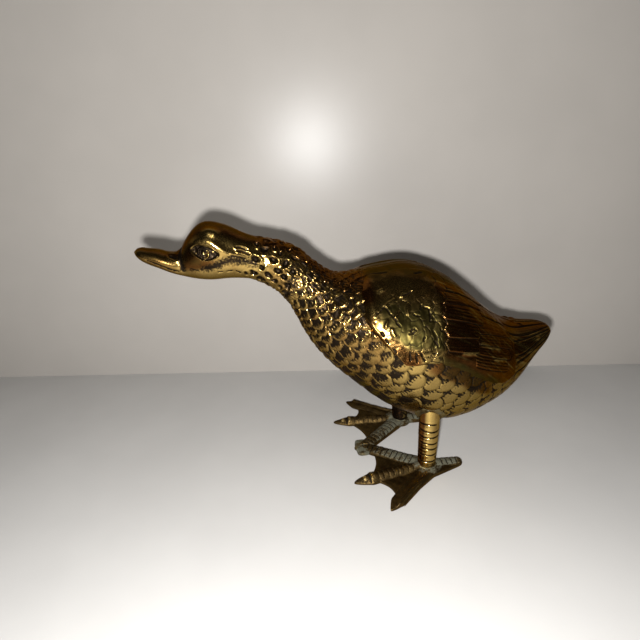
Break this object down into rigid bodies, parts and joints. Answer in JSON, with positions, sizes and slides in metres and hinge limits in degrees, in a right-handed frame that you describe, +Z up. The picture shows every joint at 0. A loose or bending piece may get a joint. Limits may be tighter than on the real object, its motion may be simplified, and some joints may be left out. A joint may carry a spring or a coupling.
{
  "type": "duck figurine",
  "caption": "Brass duck ornament stretching its neck forward, feathered body on ringed legs and webbed feet, standing free on a shelf.",
  "frame": {"origin": "on the floor, under the middle of the overall length and width", "axes": "+X towards the bill, +Y towards the duck's left, +Z up"},
  "size_m": [0.1802, 0.0846, 0.1134],
  "materials": {
    "polished_brass": "polished cast brass, dark brown patina left in the engraved feathers",
    "leg_brass": "polished brass rod with darkened ring grooves",
    "aged_brass": "dull dark cast brass, rubbed bright at the claws",
    "braze_alloy": "dull brazing metal with grey-green verdigris"
  },
  "bodies": {
    "root": {"body_shell_left": "polished_brass", "body_shell_right": "polished_brass", "seam_braze": "polished_brass", "leg_left": "leg_brass", "leg_right": "leg_brass", "foot_left": "aged_brass", "foot_right": "aged_brass", "hip_braze_left": "braze_alloy", "hip_braze_right": "braze_alloy", "ankle_braze_left": "braze_alloy", "ankle_braze_right": "braze_alloy", "toe_braze": "braze_alloy"}
  },
  "joints": []
}
